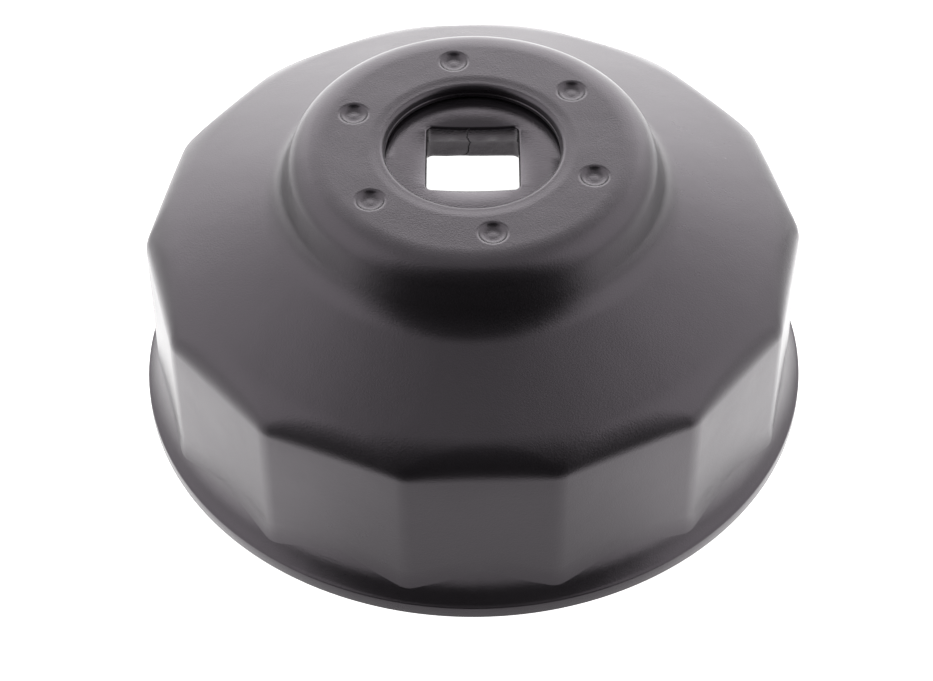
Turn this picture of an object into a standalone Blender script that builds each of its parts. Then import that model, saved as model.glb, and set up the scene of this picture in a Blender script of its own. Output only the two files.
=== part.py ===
"""Cap type oil filter wrench, 67 mm across flats, 14 flats, 3/8 inch square drive.

Two steel stampings and six projection welds. The cap is one pressing: a 14 sided
skirt with a bell mouth, a sloped shoulder and a raised boss with a round hole. A thick
round plate with the square drive hole lies under the boss and is welded to it.
The origin is the centre of the rim's lower face, with the closed end up.
"""
import math

import bmesh
import bpy
from mathutils import Matrix, Vector

# Overall sizes, in metres
TOTAL_HEIGHT = 0.0337
ACROSS_FLATS = 0.0700
FLAT_COUNT = 14
SHEET = 0.0015

# Skirt and bell mouth
CORNER_RADIUS = 0.0040
FLARE_REACH = 0.0020
FLARE_RADIUS = 0.0050
RIM_LAND = 0.0005

# Shoulder and boss
SHOULDER_SLOPE = math.radians(20.4)
SHOULDER_CROWN = 0.0080
SHOULDER_REACH = 0.0023
FLAT_RISE = 0.0036
BOSS_RADIUS = 0.0197
BOSS_RISE = 0.0060
BOSS_DRAFT = math.radians(16.0)
BOSS_CROWN = 0.0090
BOSS_CROWN_TURN = math.radians(10.0)
BOSS_FILLET = 0.0030
BOSS_BASE_FILLET = 0.0040
BOSS_HOLE_RADIUS = 0.0095

# Drive plate
DRIVE_SQUARE = 0.0098
DRIVE_CORNER_RADIUS = 0.0006
PLATE_THICKNESS = 0.0045
PLATE_CHAMFER = 0.0004

# Projection welds and the dimples that the electrodes leave above them
WELD_COUNT = 6
WELD_EDGE_DISTANCE = 0.0021
DIMPLE_RADIUS = 0.00158
DIMPLE_FLOOR_RADIUS = 0.00118
DIMPLE_DEPTH = 0.0003
NUGGET_RADIUS = 0.0013
NUGGET_DEPTH = 0.0010
NUGGET_PROUD = 0.00025
NUGGET_BEVEL = 0.0002

# Gap kept between the faces of pieces that touch on the real tool
FACE_GAP = 0.0003
# Extra length that a cutter runs past the surface that it enters
CUTTER_RUNOUT = 0.0010

# Turn of each pattern about +Z, measured from the -Y axis
FLAT_PHASE = math.radians(1.3)
WELD_PHASE = math.radians(8.6)

# Facets used on each curve
BEND_STEPS = 4
CROWN_STEPS = 2
TIGHT_BEND_STEPS = 3
MOUTH_STEPS = 4
PLATE_SEGMENTS = 56
WELD_SEGMENTS = 16
CORNER_STEPS = 2
SMOOTH_ANGLE = math.radians(30.0)

# Sizes that follow from the ones above
APOTHEM = ACROSS_FLATS / 2.0
HALF_FLAT = math.pi / FLAT_COUNT
RIM_RADIUS = APOTHEM + FLARE_REACH
FLARE_AXIS = APOTHEM + FLARE_RADIUS
FOOT_TANGENT = BOSS_BASE_FILLET * math.tan((math.pi / 2.0 - BOSS_DRAFT - SHOULDER_SLOPE) / 2.0)
FOOT_LEAN = math.cos(BOSS_DRAFT + SHOULDER_SLOPE) / math.cos(SHOULDER_SLOPE)
BEND_DROP = math.cos(BOSS_CROWN_TURN) - math.sin(BOSS_DRAFT)
BEND_REACH = math.cos(BOSS_DRAFT) - math.sin(BOSS_CROWN_TURN)
WALL_RISE = BOSS_RISE - BOSS_CROWN * (1.0 - math.cos(BOSS_CROWN_TURN))
BOSS_TOP_BEND = min(BOSS_FILLET, (WALL_RISE - FOOT_TANGENT * FOOT_LEAN) / BEND_DROP)
BOSS_WALL = (WALL_RISE - BOSS_TOP_BEND * BEND_DROP) / FOOT_LEAN - FOOT_TANGENT
CROWN_REACH = BOSS_CROWN * math.sin(BOSS_CROWN_TURN)
BOSS_FLAT_RADIUS = BOSS_RADIUS - BOSS_TOP_BEND * BEND_REACH - CROWN_REACH
CROWN_RADIUS = APOTHEM + SHOULDER_REACH - SHOULDER_CROWN
CAP_UNDERSIDE = TOTAL_HEIGHT - SHEET
PLATE_TOP = CAP_UNDERSIDE - FACE_GAP
PLATE_UNDERSIDE = PLATE_TOP - PLATE_THICKNESS
PLATE_RADIUS = BOSS_FLAT_RADIUS
WELD_CIRCLE = PLATE_RADIUS - WELD_EDGE_DISTANCE
NUGGET_TOP = PLATE_TOP + NUGGET_PROUD
NUGGET_UNDERSIDE = PLATE_TOP - NUGGET_DEPTH


def remove_all_objects():
    """Empty the scene before the model is built."""
    for old in list(bpy.data.objects):
        bpy.data.objects.remove(old, do_unlink=True)


def make_material(name, colour, roughness, metallic):
    """A plain Principled material for one piece."""
    material = bpy.data.materials.new(name)
    material.use_nodes = True
    shader = material.node_tree.nodes["Principled BSDF"]
    shader.inputs["Base Color"].default_value = (*colour, 1.0)
    shader.inputs["Roughness"].default_value = roughness
    shader.inputs["Metallic"].default_value = metallic
    return material


def finish_object(name, bm, material):
    """Turn a bmesh into a named, smooth shaded object."""
    bmesh.ops.recalc_face_normals(bm, faces=bm.faces)
    mesh = bpy.data.meshes.new(name)
    bm.to_mesh(mesh)
    bm.free()
    mesh.shade_smooth()
    mesh.set_sharp_from_angle(angle=SMOOTH_ANGLE)
    piece = bpy.data.objects.new(name, mesh)
    bpy.context.scene.collection.objects.link(piece)
    if material is not None:
        mesh.materials.append(material)
    return piece


def finish_cutter(name, bm):
    """A hidden solid that a Boolean subtracts."""
    cutter = finish_object(name, bm, None)
    cutter.hide_render = True
    cutter.display_type = "WIRE"
    return cutter


def subtract(piece, cutter):
    """Cut one solid out of another with the exact solver."""
    boolean = piece.modifiers.new("cut_" + cutter.name, "BOOLEAN")
    boolean.operation = "DIFFERENCE"
    boolean.solver = "EXACT"
    boolean.object = cutter


def weld_places():
    """Centre of each weld, as X and Y on the weld circle."""
    places = []
    for index in range(WELD_COUNT):
        angle = WELD_PHASE + index * 2.0 * math.pi / WELD_COUNT
        places.append((WELD_CIRCLE * math.sin(angle), -WELD_CIRCLE * math.cos(angle)))
    return places


def skirt_radius(azimuth, apothem, corner):
    """Distance from the axis to a regular polygon with rounded corners."""
    centre_apothem = apothem - corner
    offset = (azimuth - FLAT_PHASE + HALF_FLAT) % (2.0 * HALF_FLAT) - HALF_FLAT
    flat_end = math.atan(centre_apothem * math.tan(HALF_FLAT) / apothem)
    if abs(offset) <= flat_end:
        return apothem / math.cos(offset)
    centre = centre_apothem / math.cos(HALF_FLAT)
    from_corner = HALF_FLAT - abs(offset)
    chord = math.sqrt(corner ** 2 - (centre * math.sin(from_corner)) ** 2)
    return centre * math.cos(from_corner) + chord


def column_azimuths():
    """Azimuths of the mesh columns: five on each flat and one on each corner."""
    centre_apothem = APOTHEM - CORNER_RADIUS
    flat_end = math.atan(centre_apothem * math.tan(HALF_FLAT) / APOTHEM)
    steps = [-flat_end, -flat_end / 2.0, 0.0, flat_end / 2.0, flat_end, HALF_FLAT]
    azimuths = []
    for flat in range(FLAT_COUNT):
        middle = FLAT_PHASE + flat * 2.0 * HALF_FLAT
        azimuths.extend(middle + step for step in steps)
    return azimuths


def arc(centre, radius, start, end, steps):
    """Points (r, z) along an arc, both ends included."""
    points = []
    for step in range(steps + 1):
        angle = start + (end - start) * step / steps
        radial = centre[0] + radius * math.cos(angle)
        points.append((radial, centre[1] + radius * math.sin(angle)))
    return points


def shoulder_plane(radial):
    """Height of the outer shoulder cone at a radius."""
    return TOTAL_HEIGHT - BOSS_RISE - (radial - BOSS_RADIUS) * math.tan(SHOULDER_SLOPE)


def boss_profile(inset):
    """Boss from its hole out over two bends and the wall to the fillet at its foot."""
    crown_centre = (BOSS_FLAT_RADIUS, TOTAL_HEIGHT - BOSS_CROWN)
    crown_end = math.pi / 2.0 - BOSS_CROWN_TURN
    bend_shift = BOSS_CROWN - BOSS_TOP_BEND
    bend_radius = BOSS_FLAT_RADIUS + bend_shift * math.sin(BOSS_CROWN_TURN)
    bend_height = TOTAL_HEIGHT - BOSS_CROWN + bend_shift * math.cos(BOSS_CROWN_TURN)
    along = BOSS_TOP_BEND + BOSS_BASE_FILLET
    foot_radius = bend_radius + along * math.cos(BOSS_DRAFT) + BOSS_WALL * math.sin(BOSS_DRAFT)
    foot_height = bend_height + along * math.sin(BOSS_DRAFT) - BOSS_WALL * math.cos(BOSS_DRAFT)
    foot_centre = (foot_radius, foot_height)
    foot_bend = BOSS_BASE_FILLET + inset
    foot_end = 1.5 * math.pi - SHOULDER_SLOPE
    crown = arc(crown_centre, BOSS_CROWN - inset, math.pi / 2.0, crown_end, CROWN_STEPS)
    bend = arc((bend_radius, bend_height), BOSS_TOP_BEND - inset, crown_end, BOSS_DRAFT, BEND_STEPS)
    foot = arc(foot_centre, foot_bend, math.pi + BOSS_DRAFT, foot_end, BEND_STEPS)
    return [(BOSS_HOLE_RADIUS, TOTAL_HEIGHT - inset)] + crown[:-1] + bend + foot


def shoulder_profile(wall, inset):
    """Crowned edge of the shoulder, and the bend from it to the top of the skirt wall."""
    drop = SHOULDER_CROWN / math.cos(SHOULDER_SLOPE)
    crown_height = shoulder_plane(CROWN_RADIUS) - drop
    crown = SHOULDER_CROWN - inset
    across = wall - CROWN_RADIUS
    bend = (crown ** 2 - across ** 2 - FLAT_RISE ** 2) / (2.0 * (crown - across))
    meet = math.atan2(FLAT_RISE, across - bend)
    crown_start = math.pi / 2.0 - SHOULDER_SLOPE
    points = arc((CROWN_RADIUS, crown_height), crown, crown_start, meet, TIGHT_BEND_STEPS)
    bend_centre = (wall - bend, crown_height + FLAT_RISE)
    return points[:-1] + arc(bend_centre, bend, meet, 0.0, BEND_STEPS)


def mouth_profile(wall, radius, edge_radius, edge_height):
    """Bell mouth arc from the skirt wall down to a point on the rim."""
    start = math.pi + math.acos((FLARE_AXIS - wall) / radius)
    end = math.pi + math.acos((FLARE_AXIS - edge_radius) / radius)
    centre = (FLARE_AXIS, edge_height - radius * math.sin(end))
    return arc(centre, radius, start, end, MOUTH_STEPS)


def cap_section(azimuth):
    """Closed section of the cap at one azimuth, outer side down then inner side up."""
    outer_wall = skirt_radius(azimuth, APOTHEM, CORNER_RADIUS)
    inner_wall = skirt_radius(azimuth, APOTHEM - SHEET, CORNER_RADIUS - SHEET)
    section = boss_profile(0.0)
    section += shoulder_profile(outer_wall, 0.0)
    section += mouth_profile(outer_wall, FLARE_RADIUS, RIM_RADIUS, SHEET)
    section.append((RIM_RADIUS, 0.0))
    inner_side = boss_profile(SHEET)
    inner_side += shoulder_profile(inner_wall, SHEET)
    inner_side += mouth_profile(inner_wall, FLARE_RADIUS + SHEET, RIM_RADIUS - RIM_LAND, 0.0)
    return section + inner_side[::-1]


def extrude_ring(bm, edges):
    """Extrude a closed ring of edges, and give back the new ring's edges and vertices."""
    made = bmesh.ops.extrude_edge_only(bm, edges=edges)["geom"]
    verts = [item for item in made if isinstance(item, bmesh.types.BMVert)]
    fresh = set(verts)
    ring = [item for item in made if isinstance(item, bmesh.types.BMEdge)]
    ring = [edge for edge in ring if all(vert in fresh for vert in edge.verts)]
    return ring, verts


def make_cap_shell(material):
    """Pressed cap: a ring of edges drawn along the section at every column."""
    azimuths = column_azimuths()
    sections = [cap_section(azimuth) for azimuth in azimuths]
    bm = bmesh.new()
    column_of = bm.verts.layers.int.new("column")
    made = bmesh.ops.create_circle(bm, segments=len(azimuths), radius=BOSS_HOLE_RADIUS)
    verts = made["verts"]
    for column, vert in enumerate(verts):
        vert[column_of] = column
    first_ring = list(bm.edges)
    ring = first_ring
    for station in range(len(sections[0])):
        if station > 0:
            ring, verts = extrude_ring(bm, ring)
        for vert in verts:
            azimuth = azimuths[vert[column_of]]
            radial, height = sections[vert[column_of]][station]
            vert.co = Vector((radial * math.sin(azimuth), -radial * math.cos(azimuth), height))
    bmesh.ops.bridge_loops(bm, edges=ring + first_ring)
    return finish_object("cap_shell", bm, material)


def make_dimple_cutter():
    """Six tapered plugs that press the dimples into the top of the boss."""
    height = DIMPLE_DEPTH + CUTTER_RUNOUT
    widening = (DIMPLE_RADIUS - DIMPLE_FLOOR_RADIUS) / DIMPLE_DEPTH
    top_radius = DIMPLE_FLOOR_RADIUS + widening * height
    bm = bmesh.new()
    for x, y in weld_places():
        centre = Vector((x, y, TOTAL_HEIGHT - DIMPLE_DEPTH + height / 2.0))
        bmesh.ops.create_cone(
            bm,
            cap_ends=True,
            segments=WELD_SEGMENTS,
            radius1=DIMPLE_FLOOR_RADIUS,
            radius2=top_radius,
            depth=height,
            matrix=Matrix.Translation(centre),
        )
    return finish_cutter("dimple_cutter", bm)


def make_nugget_pocket_cutter():
    """Six plugs that leave room for the nuggets in the cap and in the plate."""
    low = NUGGET_UNDERSIDE - FACE_GAP
    high = NUGGET_TOP + FACE_GAP
    bm = bmesh.new()
    for x, y in weld_places():
        bmesh.ops.create_cone(
            bm,
            cap_ends=True,
            segments=WELD_SEGMENTS,
            radius1=NUGGET_RADIUS + FACE_GAP,
            radius2=NUGGET_RADIUS + FACE_GAP,
            depth=high - low,
            matrix=Matrix.Translation(Vector((x, y, (low + high) / 2.0))),
        )
    return finish_cutter("nugget_pocket_cutter", bm)


def make_square_cutter():
    """Square bar with rounded corners that punches the drive hole."""
    middle = (PLATE_TOP + PLATE_UNDERSIDE) / 2.0
    length = PLATE_THICKNESS + 2.0 * CUTTER_RUNOUT
    bm = bmesh.new()
    size = Matrix.Diagonal((DRIVE_SQUARE, DRIVE_SQUARE, length, 1.0))
    place = Matrix.Translation(Vector((0.0, 0.0, middle)))
    bmesh.ops.create_cube(bm, size=1.0, matrix=place @ size)
    upright = []
    for edge in bm.edges:
        if abs(edge.verts[0].co.z - edge.verts[1].co.z) > length / 2.0:
            upright.append(edge)
    bmesh.ops.bevel(
        bm,
        geom=upright,
        offset=DRIVE_CORNER_RADIUS,
        segments=CORNER_STEPS,
        profile=0.5,
        affect="EDGES",
    )
    return finish_cutter("square_cutter", bm)


def bevel_disc_rims(bm, width):
    """Bevel the edges where the flat ends of an upright disc meet its side."""
    rim_edges = []
    for edge in bm.edges:
        flat_faces = [face for face in edge.link_faces if abs(face.normal.z) > 0.5]
        if len(flat_faces) == 1:
            rim_edges.append(edge)
    bmesh.ops.bevel(bm, geom=rim_edges, offset=width, segments=1, profile=0.5, affect="EDGES")


def make_disc(name, radius, height, centre, segments, bevel, material):
    """Upright disc with bevelled rims."""
    bm = bmesh.new()
    bmesh.ops.create_cone(
        bm,
        cap_ends=True,
        segments=segments,
        radius1=radius,
        radius2=radius,
        depth=height,
        matrix=Matrix.Translation(centre),
    )
    bm.normal_update()
    bevel_disc_rims(bm, bevel)
    return finish_object(name, bm, material)


def make_drive_plate(material):
    """Thick plate under the boss."""
    centre = Vector((0.0, 0.0, (PLATE_TOP + PLATE_UNDERSIDE) / 2.0))
    return make_disc(
        "drive_plate",
        PLATE_RADIUS,
        PLATE_THICKNESS,
        centre,
        PLATE_SEGMENTS,
        PLATE_CHAMFER,
        material,
    )


def make_weld_nuggets(material):
    """One small disc of fused steel under each dimple."""
    nuggets = []
    height = NUGGET_TOP - NUGGET_UNDERSIDE
    middle = (NUGGET_TOP + NUGGET_UNDERSIDE) / 2.0
    for number, (x, y) in enumerate(weld_places(), start=1):
        name = f"weld_nugget_{number}"
        centre = Vector((x, y, middle))
        nugget = make_disc(
            name, NUGGET_RADIUS, height, centre, WELD_SEGMENTS, NUGGET_BEVEL, material
        )
        nuggets.append(nugget)
    return nuggets


def main():
    """Build every piece of the wrench."""
    remove_all_objects()
    cap_black = make_material("cap_black", (0.030, 0.028, 0.032), 0.32, 0.0)
    plate_black = make_material("plate_black", (0.032, 0.030, 0.034), 0.28, 0.0)
    weld_steel = make_material("weld_steel", (0.20, 0.19, 0.19), 0.50, 1.0)
    cap_shell = make_cap_shell(cap_black)
    drive_plate = make_drive_plate(plate_black)
    make_weld_nuggets(weld_steel)
    pocket_cutter = make_nugget_pocket_cutter()
    subtract(cap_shell, make_dimple_cutter())
    subtract(cap_shell, pocket_cutter)
    subtract(drive_plate, make_square_cutter())
    subtract(drive_plate, pocket_cutter)


main()
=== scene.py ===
"""Cap type oil filter wrench: detailed pieces, finishes, light and camera.

Laid out as a Blender add-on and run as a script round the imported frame.
"""

import math

import bmesh
import bpy
from bpy.props import FloatProperty, FloatVectorProperty, IntProperty, PointerProperty
from mathutils import Matrix, Vector, noise


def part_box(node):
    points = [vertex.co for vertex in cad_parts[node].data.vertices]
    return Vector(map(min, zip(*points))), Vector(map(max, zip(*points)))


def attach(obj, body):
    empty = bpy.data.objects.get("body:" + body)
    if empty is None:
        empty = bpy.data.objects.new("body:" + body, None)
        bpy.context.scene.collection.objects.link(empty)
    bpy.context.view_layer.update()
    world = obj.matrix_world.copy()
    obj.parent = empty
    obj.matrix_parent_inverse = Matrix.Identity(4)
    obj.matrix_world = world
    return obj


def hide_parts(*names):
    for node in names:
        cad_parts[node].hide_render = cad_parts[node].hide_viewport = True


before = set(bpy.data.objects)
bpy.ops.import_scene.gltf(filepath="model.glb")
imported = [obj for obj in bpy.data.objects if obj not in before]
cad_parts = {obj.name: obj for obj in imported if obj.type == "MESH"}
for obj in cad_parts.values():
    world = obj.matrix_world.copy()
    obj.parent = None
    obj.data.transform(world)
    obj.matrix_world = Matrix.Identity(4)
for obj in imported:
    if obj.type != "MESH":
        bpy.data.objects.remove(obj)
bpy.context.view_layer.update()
CAP_LOW, CAP_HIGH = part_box("cap_shell")
PLATE_LOW, PLATE_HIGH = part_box("drive_plate")
NUGGET_LOW, NUGGET_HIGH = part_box("weld_nugget_1")
NUGGET_CENTRE = (Vector(NUGGET_LOW) + Vector(NUGGET_HIGH)) / 2.0
NUGGETS = [f"weld_nugget_{number}" for number in range(1, 7)]

bl_info = {
    "name": "Oil Filter Wrench",
    "version": (1, 0, 0),
    "blender": (4, 5, 0),
    "location": "3D View > Sidebar > Wrench",
    "description": "Pressed steel cap wrench with a welded square drive plate",
    "category": "Object",
}


# ---------------------------------------------------------------- sizes and colours


def length(label, text, value):
    """A length setting with its label, its description and its value in metres."""
    return FloatProperty(name=label, description=text, default=value, unit="LENGTH")


class CapSizes(bpy.types.PropertyGroup):
    """Sizes of the pressed cap."""

    height: length("Height", "Height of the boss top above the rim", CAP_HIGH[2])
    rim_radius: length("Rim Radius", "Outer radius of the flared rim", CAP_HIGH[0])
    flare_reach: length("Flare Reach", "How far the rim stands out from the flats", 0.0020)
    flare_radius: length("Flare Radius", "Radius of the outer bend between a flat and the rim", 0.0050)
    rim_land: length("Rim Land", "Width of the flat ring under the rim", 0.0005)
    rim_edge: length("Rim Edge", "Rounding of the rim's cut edge", 0.00022)
    sheet: length("Sheet", "Thickness of the sheet steel", 0.0015)
    flat_count: IntProperty(
        name="Flats",
        description="Number of flats round the skirt",
        default=14,
        min=6,
    )
    flat_turn: FloatProperty(
        name="Flat Turn",
        description="Turn of the first flat from the -Y axis",
        default=math.radians(1.3),
        subtype="ANGLE",
    )
    corner_radius: length("Corner Radius", "Outer radius between neighbouring flats", 0.0040)
    shoulder_slope: FloatProperty(
        name="Shoulder Slope",
        description="Fall of the shoulder from the boss to the skirt",
        default=math.radians(20.4),
        subtype="ANGLE",
    )
    shoulder_crown: length(
        "Shoulder Crown", "Radius that the shoulder turns over with before the flats cut it", 0.0080
    )
    shoulder_reach: length(
        "Shoulder Reach", "How far beyond the flats the shoulder's crown would stand upright", 0.0023
    )
    flat_rise: length(
        "Flat Rise", "Height of the flats' upper ends above the centre of the shoulder crown", 0.0036
    )
    boss_radius: length("Boss Radius", "Outer radius of the raised boss", 0.0197)
    boss_rise: length("Boss Rise", "Height of the boss above the shoulder cone at its wall", 0.0060)
    boss_draft: FloatProperty(
        name="Boss Draft",
        description="Lean of the boss wall",
        default=math.radians(16.0),
        subtype="ANGLE",
    )
    boss_crown: length("Boss Crown", "Radius of the slow bend round the edge of the boss top", 0.0090)
    boss_crown_turn: FloatProperty(
        name="Boss Crown Turn",
        description="How far the slow bend turns over",
        default=math.radians(10.0),
        subtype="ANGLE",
    )
    boss_fillet: length("Boss Fillet", "Radius round the top of the boss", 0.0030)
    boss_foot_fillet: length("Boss Foot Fillet", "Radius at the foot of the boss", 0.0040)
    hole_radius: length("Hole Radius", "Radius of the hole in the boss", 0.00935)
    hole_rollover: length(
        "Hole Rollover", "Rounding that the punch leaves at the top of the hole", 0.00055
    )
    hole_draw: length("Hole Draw", "How far the top is drawn down at the hole", 0.00008)
    hole_draw_reach: length("Hole Draw Reach", "How far from the hole the top is drawn down", 0.0013)


class DimpleSizes(bpy.types.PropertyGroup):
    """Sizes of the dimples that the welding electrodes leave."""

    circle_radius: length(
        "Circle Radius",
        "Distance from the axis to each dimple", math.hypot(NUGGET_CENTRE.x, NUGGET_CENTRE.y)
    )
    turn: FloatProperty(
        name="Turn",
        description="Turn of the first dimple from the -Y axis",
        default=math.radians(8.6),
        subtype="ANGLE",
    )
    reach: length("Reach", "Radius where the sheet starts to draw down", 0.00185)
    lip_radius: length("Lip Radius", "Radius of the crisp edge", 0.00152)
    floor_radius: length("Floor Radius", "Radius of the raised middle of the floor", 0.00045)
    draw: length("Draw", "Depth of the soft draw outside the crisp edge", 0.00007)
    depth: length("Depth", "Depth of the floor below the boss top", 0.00046)
    crown: length("Crown", "How far the floor rises to its middle", 0.000015)


class PlateSizes(bpy.types.PropertyGroup):
    """Sizes of the drive plate."""

    radius: length("Radius", "Outer radius of the plate", PLATE_HIGH[0])
    top: length("Top", "Height of the plate's upper face", PLATE_HIGH[2])
    underside: length("Underside", "Height of the plate's lower face", PLATE_LOW[2])
    edge: length("Edge", "Rounding of the blanked outer edge", 0.00030)
    square: length("Square", "Width across the drive square", 0.0098)
    square_corner: length("Square Corner", "Corner radius of the drive square", 0.0006)
    rollover: length(
        "Rollover", "How far the punch draws the face down at the middle of a side", 0.00032
    )
    rollover_reach: length("Rollover Reach", "How far from the square the face is drawn down", 0.0032)
    burnish_share: FloatProperty(
        name="Burnish Share",
        description="Share of the hole's depth that the punch burnishes",
        default=0.45,
        subtype="FACTOR",
    )
    breakout: length("Breakout", "How far the fractured part widens", 0.00014)


class FinishSettings(bpy.types.PropertyGroup):
    """Colours and gloss."""

    coat_colour: FloatVectorProperty(
        name="Coat Colour",
        description="Black coating on the cap and the plate",
        default=(0.0070, 0.0062, 0.0072),
        subtype="COLOR",
        size=3,
    )
    sheen_tint: FloatVectorProperty(
        name="Sheen Tint",
        description="Faint purple that the coating gives to what it reflects",
        default=(1.0, 0.90, 1.0),
        subtype="COLOR",
        size=3,
    )
    # Partly painted light. The fractured band is coloured lighter than the coating, which stands in
    # for light from the table below as well as for the rough torn steel.
    torn_colour_and_painted_light: FloatVectorProperty(
        name="Torn Colour",
        description="Thin coating on the fractured steel in the drive square",
        default=(0.045, 0.042, 0.043),
        subtype="COLOR",
        size=3,
    )
    dust_colour: FloatVectorProperty(
        name="Dust Colour",
        description="Specks of dust on the coating",
        default=(0.10, 0.095, 0.10),
        subtype="COLOR",
        size=3,
    )
    steel_colour: FloatVectorProperty(
        name="Steel Colour",
        description="Bare fused steel of the welds",
        default=(0.30, 0.29, 0.29),
        subtype="COLOR",
        size=3,
    )
    cap_roughness: FloatProperty(
        name="Cap Roughness",
        description="Roughness of the cap's coating",
        default=0.30,
        subtype="FACTOR",
    )
    plate_roughness: FloatProperty(
        name="Plate Roughness",
        description="Roughness of the plate's coating",
        default=0.17,
        subtype="FACTOR",
    )


class StageSettings(bpy.types.PropertyGroup):
    """Light, floor and camera."""

    # Painted light: the table glows though it is no lamp, and these table settings set the strength of
    # that glow. The first sets it close beside the tool.
    table_near_painted_glow: FloatProperty(
        name="Table Near",
        description="Brightness of the lit white table close beside the tool",
        default=1.65,
    )
    # Painted shade: a dim glow on the table close in front of the tool.
    table_front_painted_shade: FloatProperty(
        name="Table Front",
        description="Brightness of the table close in front of the tool",
        default=0.45,
    )
    # Painted light: a bright glow on the table under the cup, where the table would lie in shade.
    table_under_painted_light: FloatProperty(
        name="Table Under",
        description="Brightness of the table under the cup, seen through the drive square",
        default=1.3,
    )
    # Painted light: the glow of the table further out at the sides.
    table_far_painted_glow: FloatProperty(
        name="Table Far",
        description="Brightness of the table further out at the sides",
        default=0.35,
    )
    # Painted light: the glow of the table further out behind the tool.
    table_back_painted_glow: FloatProperty(
        name="Table Back",
        description="Brightness of the table further out behind the tool",
        default=1.7,
    )
    tent_sides: FloatProperty(
        name="Tent Sides",
        description="Brightness of the tent's side walls",
        default=2.2,
    )
    tent_back: FloatProperty(
        name="Tent Back",
        description="Brightness of the tent's back wall",
        default=4.4,
    )
    tent_top: FloatProperty(
        name="Tent Top",
        description="Brightness of the tent overhead",
        default=0.75,
    )
    opening_light: FloatProperty(
        name="Opening Light",
        description="Share of the light that comes in through the tent's open front",
        default=0.02,
        subtype="FACTOR",
    )
    lens: FloatProperty(
        name="Lens",
        description="Focal length of the camera",
        default=108.16,
        unit="CAMERA",
    )
    camera_place: FloatVectorProperty(
        name="Camera Place",
        description="Where the camera stands",
        default=(0.0, -0.221098, 0.232877),
        subtype="TRANSLATION",
        size=3,
    )
    camera_aim: FloatVectorProperty(
        name="Camera Aim",
        description="Point that the camera looks at",
        default=(-0.00081, 0.00188, 0.00183),
        subtype="TRANSLATION",
        size=3,
    )
    camera_roll: FloatProperty(
        name="Camera Roll",
        description="Clockwise turn of the camera about its line of sight",
        default=0.00668,
        subtype="ANGLE",
    )


# ---------------------------------------------------------------- mesh helpers


def arc(centre, radius, start, end, steps):
    """Points (r, z) along an arc, both ends included."""
    points = []
    for step in range(steps + 1):
        angle = start + (end - start) * step / steps
        radial = centre[0] + radius * math.cos(angle)
        points.append((radial, centre[1] + radius * math.sin(angle)))
    return points


def between(start, end, steps):
    """Points evenly spaced between two points, ends left out."""
    points = []
    for step in range(1, steps):
        share = step / steps
        radial = start[0] + (end[0] - start[0]) * share
        points.append((radial, start[1] + (end[1] - start[1]) * share))
    return points


def ease(share):
    """Smooth rise from 0 to 1."""
    return share * share * (3.0 - 2.0 * share)


def on_circle(centre, radius, azimuth, height):
    """Point at an azimuth measured from the -Y axis."""
    x = centre[0] + radius * math.sin(azimuth)
    return Vector((x, centre[1] - radius * math.cos(azimuth), height))


def start_ring(bm, count, place):
    """A closed ring of edges, with each vertex placed by its column number."""
    column_of = bm.verts.layers.int.get("column") or bm.verts.layers.int.new("column")
    verts = bmesh.ops.create_circle(bm, segments=count, radius=0.001)["verts"]
    for column, vert in enumerate(verts):
        vert[column_of] = column
        vert.co = place(column)
    return [edge for vert in verts for edge in vert.link_edges if edge.verts[0] == vert]


def extrude_ring(bm, ring, place):
    """Extrude a ring of edges and place the new vertices by column number."""
    column_of = bm.verts.layers.int["column"]
    made = bmesh.ops.extrude_edge_only(bm, edges=ring)["geom"]
    verts = [item for item in made if isinstance(item, bmesh.types.BMVert)]
    fresh = set(verts)
    for vert in verts:
        vert.co = place(vert[column_of])
    edges = [item for item in made if isinstance(item, bmesh.types.BMEdge)]
    return [edge for edge in edges if fresh.issuperset(edge.verts)]


def sweep_rings(bm, count, stations, place):
    """Extrude a ring through stations; gives back its first and its last ring."""
    first = start_ring(bm, count, lambda column: place(column, stations[0]))
    last = first
    for station in stations[1:]:
        last = extrude_ring(bm, last, lambda column, station=station: place(column, station))
    return first, last


def fill_flat(bm, rings):
    """Fill a flat face that has holes in it."""
    edges = [edge for ring in rings for edge in ring]
    bmesh.ops.triangle_fill(bm, use_beauty=True, edges=edges, normal=Vector((0.0, 0.0, 1.0)))


def finish_piece(name, bm, materials, replaced):
    """Make the object, give it its materials, hang it on the root body and hide the frame part that it
    replaces.
    """
    bmesh.ops.recalc_face_normals(bm, faces=bm.faces)
    mesh = bpy.data.meshes.new(name)
    bm.to_mesh(mesh)
    bm.free()
    mesh.shade_smooth()
    for material in materials:
        mesh.materials.append(material)
    piece = bpy.data.objects.new(name, mesh)
    bpy.context.scene.collection.objects.link(piece)
    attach(piece, "root")
    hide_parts(replaced)
    return piece


# ---------------------------------------------------------------- cap shape

CORNER_STEPS = 4
FLAT_STEPS = 16
BEND_STEPS = 14
CROWN_STEPS = 8
EDGE_STEPS = 3
LIP_STEPS = 8
DRAW_ROWS = 8
SHOULDER_ROWS = 8
WALL_ROWS = 6
DIMPLE_COUNT = 6
DIMPLE_SEGMENTS = 48
DIMPLE_ROWS = 8
BOWL_POWER = 3.2
GUARD = 0.00006
HOLE_STEP = 0.00008
HOLE_LEDGE_SHARE = 0.30
DRAW_POWER = 2.2


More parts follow.
